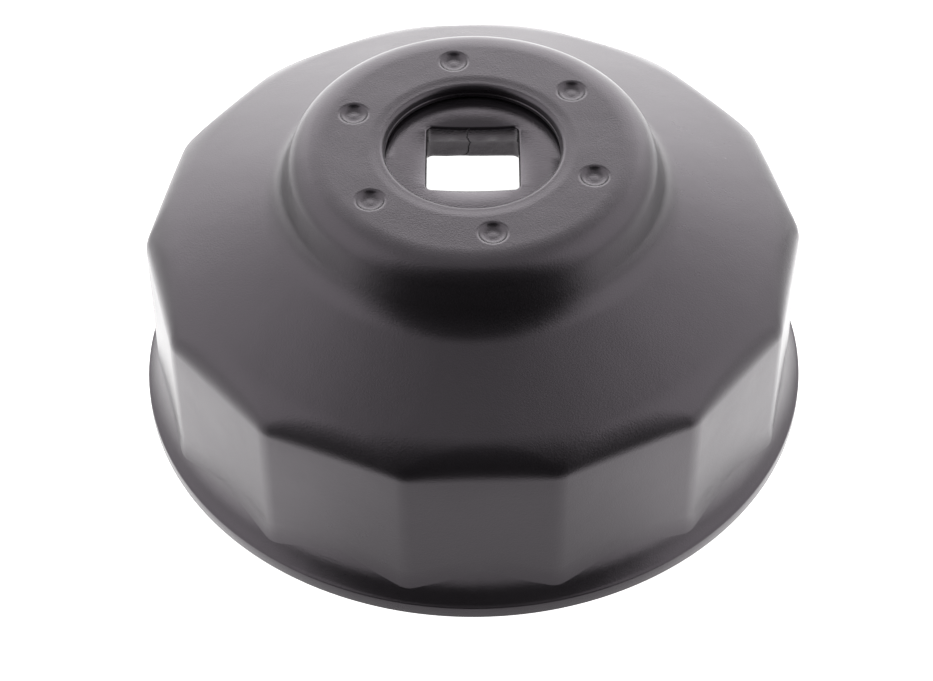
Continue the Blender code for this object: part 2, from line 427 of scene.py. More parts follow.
def skirt_radius(cap, azimuth, inset):
    """Distance from the axis to the skirt, a polygon with rounded corners."""
    apothem = cap.rim_radius - cap.flare_reach - inset
    corner = cap.corner_radius - inset
    half_flat = math.pi / cap.flat_count
    offset = (azimuth - cap.flat_turn + half_flat) % (2.0 * half_flat) - half_flat
    flat_end = math.atan((apothem - corner) * math.tan(half_flat) / apothem)
    if abs(offset) <= flat_end:
        return apothem / math.cos(offset)
    centre = (apothem - corner) / math.cos(half_flat)
    from_corner = half_flat - abs(offset)
    chord = math.sqrt(corner ** 2 - (centre * math.sin(from_corner)) ** 2)
    return centre * math.cos(from_corner) + chord


def column_azimuths(cap):
    """Azimuths of the cap's mesh columns, close together round each corner."""
    apothem = cap.rim_radius - cap.flare_reach
    half_flat = math.pi / cap.flat_count
    centre_apothem = apothem - cap.corner_radius
    flat_end = math.atan(centre_apothem * math.tan(half_flat) / apothem)
    steps = [flat_end * (2.0 * step / FLAT_STEPS - 1.0) for step in range(FLAT_STEPS)]
    bend = (half_flat - flat_end) / CORNER_STEPS
    steps += [flat_end + bend * step for step in range(2 * CORNER_STEPS)]
    azimuths = []
    for flat in range(cap.flat_count):
        middle = cap.flat_turn + 2.0 * half_flat * flat
        azimuths += [middle + step for step in steps]
    return azimuths


def shoulder_height(cap, radial):
    """Height of the outer shoulder cone at a radius."""
    fall = (radial - cap.boss_radius) * math.tan(cap.shoulder_slope)
    return cap.height - cap.boss_rise - fall


def boss_centres(cap):
    """Centres of the boss's slow bend, of its tight bend and of the fillet at its foot."""
    draft = cap.boss_draft
    turn = cap.boss_crown_turn
    foot = cap.boss_foot_fillet
    lean = math.cos(draft + cap.shoulder_slope) / math.cos(cap.shoulder_slope)
    tangent = foot * math.tan((math.pi / 2.0 - draft - cap.shoulder_slope) / 2.0)
    rise = cap.boss_rise - cap.boss_crown * (1.0 - math.cos(turn))
    wall = (rise - cap.boss_fillet * (math.cos(turn) - math.sin(draft))) / lean - tangent
    bend_radius = cap.boss_radius - cap.boss_fillet * math.cos(draft)
    shift = cap.boss_crown - cap.boss_fillet
    crown = (bend_radius - shift * math.sin(turn), cap.height - cap.boss_crown)
    bend = (bend_radius, crown[1] + shift * math.cos(turn))
    along = cap.boss_fillet + foot
    foot_radius = bend[0] + along * math.cos(draft) + wall * math.sin(draft)
    foot_height = bend[1] + along * math.sin(draft) - wall * math.cos(draft)
    return crown, bend, (foot_radius, foot_height)


def boss_side(cap, inset):
    """Boss from its flat top down to the end of the fillet at its foot."""
    crown, bend, foot = boss_centres(cap)
    draft = cap.boss_draft
    crown_end = math.pi / 2.0 - cap.boss_crown_turn
    foot_end = 1.5 * math.pi - cap.shoulder_slope
    points = arc(crown, cap.boss_crown - inset, math.pi / 2.0, crown_end, CROWN_STEPS)[:-1]
    points += arc(bend, cap.boss_fillet - inset, crown_end, draft, BEND_STEPS)
    return points + arc(foot, cap.boss_foot_fillet + inset, math.pi + draft, foot_end, BEND_STEPS)


def shoulder_bend(cap, wall, inset):
    """Crowned edge of the shoulder, and the bend from it to the top of the skirt."""
    apothem = cap.rim_radius - cap.flare_reach
    crown_radius = apothem + cap.shoulder_reach - cap.shoulder_crown
    drop = cap.shoulder_crown / math.cos(cap.shoulder_slope)
    crown_height = shoulder_height(cap, crown_radius) - drop
    crown = cap.shoulder_crown - inset
    across = wall - crown_radius
    rise = cap.flat_rise
    bend = (crown ** 2 - across ** 2 - rise ** 2) / (2.0 * (crown - across))
    meet = math.atan2(rise, across - bend)
    start = math.pi / 2.0 - cap.shoulder_slope
    points = arc((crown_radius, crown_height), crown, start, meet, CROWN_STEPS)[:-1]
    return points + arc((wall - bend, crown_height + rise), bend, meet, 0.0, BEND_STEPS)


def mouth_bend(cap, wall, radius, edge):
    """Bell mouth bend from the skirt wall down to a point on the rim."""
    axis = cap.rim_radius - cap.flare_reach + cap.flare_radius
    start = math.pi + math.acos((axis - wall) / radius)
    end = math.pi + math.acos((axis - edge[0]) / radius)
    return arc((axis, edge[1] - radius * math.sin(end)), radius, start, end, BEND_STEPS)


def outer_side(cap, azimuth):
    """Outer side of the cap's section, from the boss top to the rim's edge."""
    wall = skirt_radius(cap, azimuth, 0.0)
    bend = shoulder_bend(cap, wall, 0.0)
    edge = cap.rim_edge
    mouth_end = (cap.rim_radius - edge, cap.sheet + edge * 0.5)
    flare = mouth_bend(cap, wall, cap.flare_radius, mouth_end)
    points = [(boss_centres(cap)[0][0] - GUARD, cap.height)]
    points += boss_side(cap, 0.0)
    points += between(points[-1], bend[0], SHOULDER_ROWS) + bend
    points += between(bend[-1], flare[0], WALL_ROWS) + flare
    rim = (cap.rim_radius - edge, cap.sheet - edge * 0.5)
    return points + arc(rim, edge, math.pi / 3.0, 0.0, EDGE_STEPS)


def inner_side(cap, azimuth):
    """Inner side of the cap's section, from the rim's edge up to the boss hole."""
    wall = skirt_radius(cap, azimuth, cap.sheet)
    land = (cap.rim_radius - cap.rim_land, 0.0)
    flare = mouth_bend(cap, wall, cap.flare_radius + cap.sheet, land)[::-1]
    bend = shoulder_bend(cap, wall, cap.sheet)[::-1]
    boss = boss_side(cap, cap.sheet)[::-1]
    rim = (cap.rim_radius - cap.rim_edge, cap.rim_edge)
    points = arc(rim, cap.rim_edge, 0.0, -math.pi / 2.0, EDGE_STEPS)
    points += flare + between(flare[-1], bend[0], WALL_ROWS) + bend
    points += between(bend[-1], boss[0], SHOULDER_ROWS) + boss
    return points + hole_side(cap)


def hole_side(cap):
    """Punched hole in the boss, from the sheet's underside up to the drawn down top."""
    underside = cap.height - cap.sheet
    lip = cap.hole_rollover
    step = HOLE_STEP
    ledge = underside + cap.sheet * HOLE_LEDGE_SHARE
    top = cap.height - cap.hole_draw
    points = [(cap.hole_radius + GUARD, underside), (cap.hole_radius, underside + GUARD)]
    points += [(cap.hole_radius, ledge - step * 0.4), (cap.hole_radius + step * 0.3, ledge)]
    points += [(cap.hole_radius + step, ledge + step * 0.4), (cap.hole_radius + step, ledge + step)]
    centre = (cap.hole_radius + step + lip, top - lip)
    points += arc(centre, lip, math.pi, math.pi / 2.0, LIP_STEPS)
    for row in range(1, DRAW_ROWS + 1):
        share = row / DRAW_ROWS
        drawn = cap.hole_draw * (1.0 - ease(share))
        points.append((centre[0] + cap.hole_draw_reach * share, cap.height - drawn))
    points.append((centre[0] + cap.hole_draw_reach + GUARD, cap.height))
    return points


def dimple_section(dimple):
    """Section of one dimple, as (radius, depth) from the boss top to its centre."""
    points = [(dimple.reach + GUARD, 0.0)]
    for row in range(DIMPLE_ROWS):
        share = row / DIMPLE_ROWS
        radial = dimple.reach + (dimple.lip_radius - dimple.reach) * share
        points.append((radial, dimple.draw * share ** DRAW_POWER))
    for row in range(2 * DIMPLE_ROWS + 1):
        share = row / (2.0 * DIMPLE_ROWS)
        radial = dimple.lip_radius + (dimple.floor_radius - dimple.lip_radius) * share
        sunk = 1.0 - (1.0 - share) ** BOWL_POWER
        points.append((radial, dimple.draw + (dimple.depth - dimple.draw) * sunk))
    for row in range(1, DIMPLE_ROWS):
        share = 1.0 - row / DIMPLE_ROWS
        raised = dimple.crown * (1.0 - share * share)
        points.append((dimple.floor_radius * share, dimple.depth - raised))
    return points


def dimple_centres(dimple):
    """Centre of each dimple on the boss."""
    step = 2.0 * math.pi / DIMPLE_COUNT
    turns = [dimple.turn + step * index for index in range(DIMPLE_COUNT)]
    return [on_circle((0.0, 0.0), dimple.circle_radius, turn, 0.0) for turn in turns]


def add_dimple(bm, cap, dimple, centre):
    """Draw one dimple into the boss; gives back its outer ring."""
    def place(column, station):
        azimuth = 2.0 * math.pi * column / DIMPLE_SEGMENTS
        return on_circle(centre, station[0], azimuth, cap.height - station[1])

    first, last = sweep_rings(bm, DIMPLE_SEGMENTS, dimple_section(dimple), place)
    bmesh.ops.edgeloop_fill(bm, edges=last)
    return first


def build_cap(cap, dimple, materials):
    """Pressed cap, swept as rings along its section and closed with a dimpled flat."""
    azimuths = column_azimuths(cap)
    sections = [outer_side(cap, azimuth) + inner_side(cap, azimuth) for azimuth in azimuths]

    def place(column, station):
        radial, height = sections[column][station]
        return on_circle((0.0, 0.0), radial, azimuths[column], height)

    bm = bmesh.new()
    stations = list(range(len(sections[0])))
    outer_ring, hole_ring = sweep_rings(bm, len(azimuths), stations, place)
    rings = [outer_ring, hole_ring]
    for centre in dimple_centres(dimple):
        rings.append(add_dimple(bm, cap, dimple, centre))
    fill_flat(bm, rings)
    return finish_piece("cap_body", bm, materials, "cap_shell")


# ---------------------------------------------------------------- plate shape

SIDE_STEPS = 30
SQUARE_CORNER_STEPS = 8
DISC_SEGMENTS = 192
POCKET_SEGMENTS = 32
FRACTURE_ROWS = 9
FACE_ROWS = 14
FACE_ROW_POWER = 1.6
CORNER_DRAW_SHARE = 0.25
SQUARE_EDGE = 0.00026
SQUARE_EDGE_STEPS = 5
FRACTURE_INSET = 0.00004
FRACTURE_TOP = 0.00008
FRACTURE_LOSS = 0.00012
UNDER_STEPS = (0.00016, 0.00028)
TEAR_DEPTH = 0.00005
TEAR_FINE = 900.0
TEAR_FINER = 2300.0
PLATE_FOOT = ((0.00005, 0.0012), (0.00012, 0.00012), (0.00022, 0.0), (0.00030, 0.0))
POCKET_GAP = 0.00025
POCKET_EDGE = 0.00006


def square_place(plate, column, offset):
    """Point on a rounded square at an offset, and how near it is to a side's middle."""
    per_side = SIDE_STEPS + SQUARE_CORNER_STEPS
    side, step = divmod(column, per_side)
    straight = plate.square / 2.0 - plate.square_corner
    if step < SIDE_STEPS:
        along = 2.0 * step / SIDE_STEPS - 1.0
        x = straight * along
        y = -(plate.square / 2.0 + offset)
        middle = 1.0 - along * along
    else:
        angle = math.pi / 2.0 * (step - SIDE_STEPS) / SQUARE_CORNER_STEPS
        x = straight + (plate.square_corner + offset) * math.sin(angle)
        y = -(straight + (plate.square_corner + offset) * math.cos(angle))
        middle = 0.0
    return Matrix.Rotation(side * math.pi / 2.0, 3, "Z") @ Vector((x, y, 0.0)), middle


def drawn_down(plate, offset, middle):
    """How far the plate's face is drawn down near the square."""
    share = max(0.0, 1.0 - offset / plate.rollover_reach)
    along = CORNER_DRAW_SHARE + (1.0 - CORNER_DRAW_SHARE) * middle
    return plate.rollover * along * share ** 3


def square_stations(plate):
    """Stations from the plate's face, through the square hole, to its underside."""
    edge = SQUARE_EDGE
    reach = plate.rollover_reach
    stations = [("face", reach + GUARD, 0.0)]
    for step in range(FACE_ROWS):
        share = 1.0 - step / FACE_ROWS
        stations.append(("face", edge + (reach - edge) * share ** FACE_ROW_POWER, 0.0))
    for offset, drop in arc((edge, -edge), edge, math.pi / 2.0, math.pi, SQUARE_EDGE_STEPS):
        stations.append(("edge", offset, drop))
    thickness = plate.top - plate.underside
    burnish = thickness * plate.burnish_share
    stations.append(("wall", 0.0, -burnish * 0.6))
    stations.append(("wall", 0.0, -burnish))
    for row in range(FRACTURE_ROWS):
        share = row / (FRACTURE_ROWS - 1.0)
        depth = burnish + FRACTURE_TOP + (thickness - burnish - FRACTURE_LOSS) * share
        stations.append(("fracture", FRACTURE_INSET + plate.breakout * share ** 0.7, -depth))
    for out in UNDER_STEPS:
        stations.append(("under", plate.breakout + out, 0.0))
    return stations


def place_on_square(plate, column, station):
    """Point of the square hole's surface for one column and station."""
    part, offset, drop = station
    point, middle = square_place(plate, column, offset)
    if part == "under":
        point.z = plate.underside
    elif part == "face":
        point.z = plate.top - drawn_down(plate, offset, middle)
    elif part == "edge":
        point.z = plate.top - drawn_down(plate, offset, middle) + drop
    else:
        point.z = plate.top + drop
    if part == "fracture":
        outward = Vector((point.x, point.y, 0.0)).normalized()
        rough = noise.noise(point * TEAR_FINE) + 0.5 * noise.noise(point * TEAR_FINER)
        point += outward * (TEAR_DEPTH * rough)
    return point


def disc_stations(plate):
    """Stations (r, z) down the plate's blanked outer edge."""
    corner = (plate.radius - plate.edge, plate.top - plate.edge)
    points = [(plate.radius - plate.edge - GUARD, plate.top)]
    points += arc(corner, plate.edge, math.pi / 2.0, 0.0, EDGE_STEPS + 1)
    points.append((plate.radius, (plate.top + plate.underside) / 2.0))
    for inset, rise in PLATE_FOOT:
        points.append((plate.radius - inset, plate.underside + rise))
    return points


def add_pocket(bm, plate, centre):
    """Melted pocket in the plate round one nugget; gives back its outer ring."""
    radius = (NUGGET_HIGH[0] - NUGGET_LOW[0]) / 2.0 + POCKET_GAP
    floor = NUGGET_LOW[2] - POCKET_GAP

    def place(column, station):
        azimuth = 2.0 * math.pi * column / POCKET_SEGMENTS
        return on_circle(centre, station[0], azimuth, station[1])

    stations = [(radius, plate.top), (radius - POCKET_EDGE, plate.top - POCKET_EDGE)]
    stations += [(radius - 0.00010, floor + 0.00010), (radius - 0.00022, floor)]
    first, last = sweep_rings(bm, POCKET_SEGMENTS, stations, place)
    bmesh.ops.edgeloop_fill(bm, edges=last)
    return first


def build_plate(plate, dimple, materials):
    """Blanked plate with its punched square hole and a pocket under each dimple."""
    bm = bmesh.new()
    disc_top, disc_under = sweep_rings(
        bm,
        DISC_SEGMENTS,
        disc_stations(plate),
        lambda column, station: on_circle(
            (0.0, 0.0), station[0], 2.0 * math.pi * column / DISC_SEGMENTS, station[1]
        ),
    )
    square_top, square_under = sweep_rings(
        bm,
        4 * (SIDE_STEPS + SQUARE_CORNER_STEPS),
        square_stations(plate),
        lambda column, station: place_on_square(plate, column, station),
    )
    top_rings = [disc_top, square_top]
    for centre in dimple_centres(dimple):
        top_rings.append(add_pocket(bm, plate, centre))
    fill_flat(bm, top_rings)
    fill_flat(bm, [disc_under, square_under])
    mark_fracture(bm, plate)
    return finish_piece("drive_plate_body", bm, materials, "drive_plate")


def mark_fracture(bm, plate):
    """Give the fractured lower part of the square hole the second material."""
    limit = plate.top - (plate.top - plate.underside) * plate.burnish_share
    reach = plate.square / 2.0 + plate.breakout + 0.0002
    for face in bm.faces:
        centre = face.calc_center_median()
        inside = max(abs(centre.x), abs(centre.y)) < reach
        if inside and centre.z < limit and centre.z > plate.underside + GUARD:
            face.material_index = 1


# ---------------------------------------------------------------- finishes


GRAIN_SCALE = 5200.0
WAVE_SCALE = 170.0
MOTTLE_SCALE = 420.0
SPECK_CELLS = 170.0
SPECK_CUT = 0.45
SMUDGE_SCALE = 60.0
TORN_SCALE = 1500.0
COAT_BUMP = 0.00012
WELD_BUMP = 0.00008
CRACK_PLACE = -0.00054
CRACK_SIDE = 0.0050
CRACK_REACH = 0.0002
CRACK_TOP = 0.0004
CRACK_WANDER = 0.0022
CRACK_SCALE = 620.0


def new_group(name, inputs, outputs):
    """Shader node group with named float inputs and float outputs."""
    group = bpy.data.node_groups.new(name, "ShaderNodeTree")
    for socket, default in inputs:
        made = group.interface.new_socket(socket, in_out="INPUT", socket_type="NodeSocketFloat")
        made.default_value = default
    for socket in outputs:
        group.interface.new_socket(socket, in_out="OUTPUT", socket_type="NodeSocketFloat")
    return group, group.nodes.new("NodeGroupInput"), group.nodes.new("NodeGroupOutput")


def math_node(tree, operation, first, second=None, clamp=False):
    """Math node fed by sockets or plain numbers; gives back its output."""
    node = tree.nodes.new("ShaderNodeMath")
    node.operation = operation
    node.use_clamp = clamp
    for index, value in enumerate((first, second)):
        if isinstance(value, bpy.types.NodeSocket):
            tree.links.new(value, node.inputs[index])
        elif value is not None:
            node.inputs[index].default_value = value
    return node.outputs[0]


def noise_node(tree, vector, scale, detail, roughness=0.5):
    """Noise texture; gives back its factor output."""
    node = tree.nodes.new("ShaderNodeTexNoise")
    tree.links.new(vector, node.inputs["Vector"])
    if isinstance(scale, bpy.types.NodeSocket):
        tree.links.new(scale, node.inputs["Scale"])
    else:
        node.inputs["Scale"].default_value = scale
    node.inputs["Detail"].default_value = detail
    node.inputs["Roughness"].default_value = roughness
    return node.outputs["Fac"]


def range_node(tree, value, low, high, to_low=0.0, to_high=1.0):
    """Smooth map from one range to another; gives back its output."""
    node = tree.nodes.new("ShaderNodeMapRange")
    node.interpolation_type = "SMOOTHSTEP"
    tree.links.new(value, node.inputs["Value"])
    node.inputs["From Min"].default_value = low
    node.inputs["From Max"].default_value = high
    node.inputs["To Min"].default_value = to_low
    node.inputs["To Max"].default_value = to_high
    return node.outputs["Result"]


def stretched(tree, vector, scale, turn):
    """Object coordinates turned and stretched, for marks that run one way."""
    node = tree.nodes.new("ShaderNodeMapping")
    tree.links.new(vector, node.inputs["Vector"])
    node.inputs["Rotation"].default_value = turn
    node.inputs["Scale"].default_value = scale
    return node.outputs["Vector"]


def coating_grain_group():
    """Fine grain, soft waves and mottling of a thin black coating on pressed steel."""
    inputs = [("Grain Scale", GRAIN_SCALE), ("Wave Scale", WAVE_SCALE), ("Wave Share", 1.0)]
    group, entry, leave = new_group("coating_grain", inputs, ["Height", "Mottle"])
    place = group.nodes.new("ShaderNodeTexCoord").outputs["Object"]
    fine = noise_node(group, place, entry.outputs["Grain Scale"], 3.0, 0.6)
    wave = noise_node(group, place, entry.outputs["Wave Scale"], 2.0, 0.4)
    wave = math_node(group, "MULTIPLY", wave, entry.outputs["Wave Share"])
    height = math_node(group, "ADD", math_node(group, "MULTIPLY", fine, 0.32), wave)
    group.links.new(height, leave.inputs["Height"])
    mottle = math_node(group, "ADD", noise_node(group, place, MOTTLE_SCALE, 5.0, 0.65), fine)
    group.links.new(math_node(group, "MULTIPLY", mottle, 0.5), leave.inputs["Mottle"])
    return group


def handling_marks_group():
    """Masks for dust specks and smudges."""
    inputs = [("Speck Size", 0.020)]
    group, entry, leave = new_group("handling_marks", inputs, ["Speck", "Smudge"])
    place = group.nodes.new("ShaderNodeTexCoord").outputs["Object"]
    cells = group.nodes.new("ShaderNodeTexVoronoi")
    cells.inputs["Scale"].default_value = SPECK_CELLS
    group.links.new(place, cells.inputs["Vector"])
    near = math_node(group, "LESS_THAN", cells.outputs["Distance"], entry.outputs["Speck Size"])
    chance = group.nodes.new("ShaderNodeSeparateColor")
    group.links.new(cells.outputs["Color"], chance.inputs["Color"])
    kept = math_node(group, "GREATER_THAN", chance.outputs["Red"], SPECK_CUT)
    group.links.new(math_node(group, "MULTIPLY", near, kept), leave.inputs["Speck"])
    smudge = range_node(group, noise_node(group, place, SMUDGE_SCALE, 4.0), 0.35, 0.75)
    group.links.new(smudge, leave.inputs["Smudge"])
    return group


def new_material(name):
    """Empty Principled material; gives back the material, its tree and its shader."""
    material = bpy.data.materials.new(name)
    material.use_nodes = True
    tree = material.node_tree
    return material, tree, tree.nodes["Principled BSDF"]


def place_group(tree, group, values):
    """Put a node group in a material with its own values."""
    node = tree.nodes.new("ShaderNodeGroup")
    node.node_tree = group
    for socket, value in values.items():
        node.inputs[socket].default_value = value
    return node


def mix_colours(tree, factor, first, second):
    """Mix two colours, each a socket or a plain colour; gives back the output."""
    node = tree.nodes.new("ShaderNodeMix")
    node.data_type = "RGBA"
    tree.links.new(factor, node.inputs["Factor"])
    sockets = [socket for socket in node.inputs if socket.type == "RGBA"]
    for socket, colour in zip(sockets, (first, second)):
        if isinstance(colour, bpy.types.NodeSocket):
            tree.links.new(colour, socket)
        else:
            socket.default_value = (*colour, 1.0)
    return next(socket for socket in node.outputs if socket.type == "RGBA")


def bump_from(tree, height, distance, strength):
    """Bump node fed by a height; gives back its normal."""
    node = tree.nodes.new("ShaderNodeBump")
    node.inputs["Distance"].default_value = distance
    node.inputs["Strength"].default_value = strength
    tree.links.new(height, node.inputs["Height"])
    return node.outputs["Normal"]


def crack_mask(tree, place):
    """A fine wavy crack in the coating, down the back wall of the drive square."""
    parts = tree.nodes.new("ShaderNodeSeparateXYZ")
    tree.links.new(place, parts.inputs[0])
    upright = stretched(tree, place, (0.25, 0.25, 1.0), (0.0, 0.0, 0.0))
    wander = math_node(tree, "SUBTRACT", noise_node(tree, upright, CRACK_SCALE, 4.0, 0.6), 0.5)
    wander = math_node(tree, "MULTIPLY", wander, CRACK_WANDER)
    off = math_node(tree, "ADD", math_node(tree, "SUBTRACT", parts.outputs["X"], CRACK_PLACE), wander)
    line = range_node(tree, math_node(tree, "ABSOLUTE", off), 0.00003, 0.00010, 1.0, 0.0)
    back = math_node(tree, "COMPARE", parts.outputs["Y"], CRACK_SIDE)
    back.node.inputs[2].default_value = CRACK_REACH
    below = math_node(tree, "LESS_THAN", parts.outputs["Z"], PLATE_HIGH[2] - CRACK_TOP)
    return math_node(tree, "MULTIPLY", line, math_node(tree, "MULTIPLY", back, below))


def coated_steel(name, finish, roughness, groups, wave, rough_grain=0.0, cracked=False):
    """Thin satin black coating, with grain, mottled gloss, specks and, if asked, a crack and a torn
    colour that is partly painted light.
    """
    material, tree, shader = new_material(name)
    grain = place_group(tree, groups["grain"], {"Wave Share": wave})
    marks = place_group(tree, groups["marks"], {})
    colour = tuple(finish.coat_colour)
    light = tuple(channel * 1.7 for channel in colour)
    base = mix_colours(tree, grain.outputs["Mottle"], colour, light)
    if rough_grain:
        # Partly painted light. The torn colour is lighter than the coat and stands in for light from
        # below on the fractured band, as well as for the rough torn steel.
        base = mix_colours(tree, grain.outputs["Mottle"], tuple(finish.torn_colour_and_painted_light), base)
    worn = math_node(tree, "MULTIPLY", marks.outputs["Speck"], 0.75)
    base = mix_colours(tree, worn, base, tuple(finish.dust_colour))
    if cracked or rough_grain:
        place = tree.nodes.new("ShaderNodeTexCoord").outputs["Object"]
    if cracked:
        crack = crack_mask(tree, place)
        base = mix_colours(tree, crack, base, (0.0, 0.0, 0.0))
    tree.links.new(base, shader.inputs["Base Color"])
    gloss = math_node(tree, "MULTIPLY", marks.outputs["Smudge"], 0.05)
    gloss = math_node(tree, "ADD", gloss, math_node(tree, "MULTIPLY", grain.outputs["Mottle"], 0.06))
    gloss = math_node(tree, "ADD", gloss, math_node(tree, "MULTIPLY", worn, 0.25))
    height = grain.outputs["Height"]
    if rough_grain:
        drawn = stretched(tree, place, (1.0, 1.0, 0.45), (0.0, 0.0, 0.0))
        torn = noise_node(tree, drawn, TORN_SCALE, 6.0, 0.7)
        height = math_node(tree, "ADD", height, math_node(tree, "MULTIPLY", torn, rough_grain))
    if cracked:
        height = math_node(tree, "SUBTRACT", height, crack)
        gloss = math_node(tree, "ADD", gloss, math_node(tree, "MULTIPLY", crack, 0.6))
    tree.links.new(math_node(tree, "ADD", gloss, roughness - 0.05), shader.inputs["Roughness"])
    tree.links.new(bump_from(tree, height, COAT_BUMP, 0.55), shader.inputs["Normal"])
    shader.inputs["IOR"].default_value = 1.56
    shader.inputs["Specular Tint"].default_value = (*finish.sheen_tint, 1.0)
    return material


def weld_steel(finish, groups):
    """Bare fused steel, dull and slightly blued."""
    material, tree, shader = new_material("weld_steel_bare")
    grain = place_group(tree, groups["grain"], {"Grain Scale": 3000.0})
    steel = tuple(finish.steel_colour)
    blued = (steel[0] * 0.55, steel[1] * 0.60, steel[2] * 0.80)
    base = mix_colours(tree, grain.outputs["Mottle"], steel, blued)
    tree.links.new(base, shader.inputs["Base Color"])
    dull = math_node(tree, "MULTIPLY", grain.outputs["Mottle"], 0.3)
    tree.links.new(math_node(tree, "ADD", dull, 0.3), shader.inputs["Roughness"])
    bump = bump_from(tree, grain.outputs["Height"], WELD_BUMP, 0.6)
    tree.links.new(bump, shader.inputs["Normal"])
    shader.inputs["Metallic"].default_value = 1.0
    return material


def shared_groups():
    """The node groups that the finishes share, made once."""
    grain = bpy.data.node_groups.get("coating_grain") or coating_grain_group()
    marks = bpy.data.node_groups.get("handling_marks") or handling_marks_group()
    return {"grain": grain, "marks": marks}


# ---------------------------------------------------------------- stage

# NEAR_RANGE and UNDER_RANGE shape the table's painted glow and its painted light under the cup.
# FRONT_RANGE also sets the painted shade on the table in front of the tool.
NEAR_RANGE = (0.052, 0.085)
UNDER_RANGE = (0.026, 0.034)
FRONT_RANGE = (-0.72, -0.44)
BACK_FACING = (0.62, 1.0)
SIDE_FADE = (0.80, 1.0)
BACK_FADE = (0.56, 0.77)
OVERHEAD_RANGE = (0.90, 1.06)
TABLE_SEEN = 1.1


def seen_by_camera(tree, lighting, plain):
    """One value for light and reflections, and a plain one where the camera looks."""
    eye = tree.nodes.new("ShaderNodeLightPath").outputs["Is Camera Ray"]
    return blend_values(tree, eye, lighting, plain)


def bearing(tree, place):
    """Distance from the axis, how far it faces the back (1) or the front (-1), and height."""
    parts = tree.nodes.new("ShaderNodeSeparateXYZ")
    tree.links.new(place, parts.inputs[0])
    across = math_node(tree, "MULTIPLY", parts.outputs["X"], parts.outputs["X"])
    along = math_node(tree, "MULTIPLY", parts.outputs["Y"], parts.outputs["Y"])
    out = math_node(tree, "SQRT", math_node(tree, "ADD", across, along))
    facing = math_node(tree, "DIVIDE", parts.outputs["Y"], math_node(tree, "MAXIMUM", out, 0.0001))
    return out, facing, parts.outputs["Z"]


def blend_values(tree, factor, first, second):
    """Blend of two values, each a socket or a plain number."""
    node = tree.nodes.new("ShaderNodeMix")
    node.data_type = "FLOAT"
    tree.links.new(factor, node.inputs["Factor"])
    for socket, value in (("A", first), ("B", second)):
        if isinstance(value, bpy.types.NodeSocket):
            tree.links.new(value, node.inputs[socket])
        else:
            node.inputs[socket].default_value = value
    return node.outputs["Result"]


def open_front(tree, facing, stage):
    """Share of the light that is left towards the tent's open front."""
    return range_node(tree, facing, *FRONT_RANGE, stage.opening_light, 1.0)


def table_material(stage):
    """White table that glows with painted light. It is dimmed by painted shade in front of the tool
    and brightened by painted light under the cup.
    """
    material, tree, shader = new_material("white_table")
    place = tree.nodes.new("ShaderNodeTexCoord").outputs["Object"]
    out, facing = bearing(tree, place)[:2]
    near = range_node(tree, out, *NEAR_RANGE, 1.0, 0.0)
    close = range_node(tree, facing, -1.0, -0.68, stage.table_front_painted_shade, stage.table_near_painted_glow)
    far = range_node(tree, facing, 0.5, 1.0, stage.table_far_painted_glow, stage.table_back_painted_glow)
    # Painted shade: this factor darkens the table's colour and its glow in front of the tool.
    reach = blend_values(tree, near, open_front(tree, facing, stage), 1.0)
    painted_glow = blend_values(tree, near, far, close)
    # Painted light: the table under the cup glows brighter, where it would lie in shade.
    under = range_node(tree, out, *UNDER_RANGE, 1.0, 0.0)
    painted_glow = blend_values(tree, under, painted_glow, stage.table_under_painted_light)
    cloud = range_node(tree, noise_node(tree, place, 8.0, 2.0), 0.3, 0.7, 0.86, 0.88)
    # Painted shade in the table's colour. The grey is darkened in front of the tool for everything but
    # the camera, which sees plain grey.
    grey = seen_by_camera(tree, math_node(tree, "MULTIPLY", cloud, reach), 0.88)
    tone = tree.nodes.new("ShaderNodeCombineColor")
    for channel in ("Red", "Green", "Blue"):
        tree.links.new(grey, tone.inputs[channel])
    tree.links.new(tone.outputs["Color"], shader.inputs["Base Color"])
    shader.inputs["Roughness"].default_value = 0.6
    shader.inputs["Emission Color"].default_value = (1.0, 1.0, 0.995, 1.0)
    # Painted light: the table's glow, cut down by the painted shade in front. The camera sees an even
    # brightness.
    light = math_node(tree, "MULTIPLY", painted_glow, reach)
    tree.links.new(seen_by_camera(tree, light, TABLE_SEEN), shader.inputs["Emission Strength"])
    return material


def make_table(stage):
    """Large round table under the tool."""
    bm = bmesh.new()
    bmesh.ops.create_circle(bm, cap_ends=True, segments=96, radius=4.0)
    mesh = bpy.data.meshes.new("white_table")
    bm.to_mesh(mesh)
    bm.free()
    mesh.materials.append(table_material(stage))
    table = bpy.data.objects.new("white_table", mesh)
    bpy.context.scene.collection.objects.link(table)


